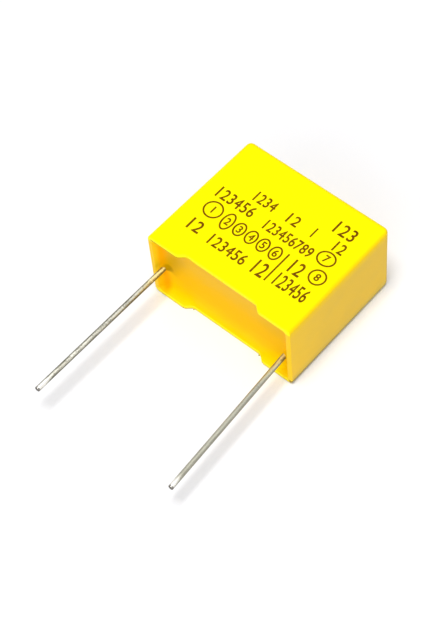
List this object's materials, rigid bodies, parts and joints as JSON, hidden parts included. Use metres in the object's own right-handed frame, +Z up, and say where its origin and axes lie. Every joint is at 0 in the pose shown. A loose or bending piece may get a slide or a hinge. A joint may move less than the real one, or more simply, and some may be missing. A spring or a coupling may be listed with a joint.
{
  "type": "polypropylene film capacitor",
  "caption": "Box film capacitor: a yellow moulded case open at the lead side, resin round a flattened film roll, and long tinned wire leads.",
  "frame": {"origin": "centre of the case's lower broad face, which the part lies on", "axes": "+Z up out of the other broad face, which carries the print; the leads leave along -Y; X runs along the lead pitch, with the bent lead at +X"},
  "size_m": [0.0261, 0.0473, 0.0135],
  "materials": {
    "case_plastic": "fine satin moulded polyester, bright yellow",
    "potting_resin": "satin epoxy resin, warm yellow",
    "metallised_film": "metallised film, silvery",
    "sprayed_zinc": "grainy sprayed zinc",
    "tinned_wire": "bright tinned wire"
  },
  "bodies": {
    "root": {"case": "case_plastic", "potting": "potting_resin", "wound_film": "metallised_film", "end_spray_left": "sprayed_zinc", "end_spray_right": "sprayed_zinc", "lead_left": "tinned_wire", "lead_right": "tinned_wire"}
  },
  "joints": []
}
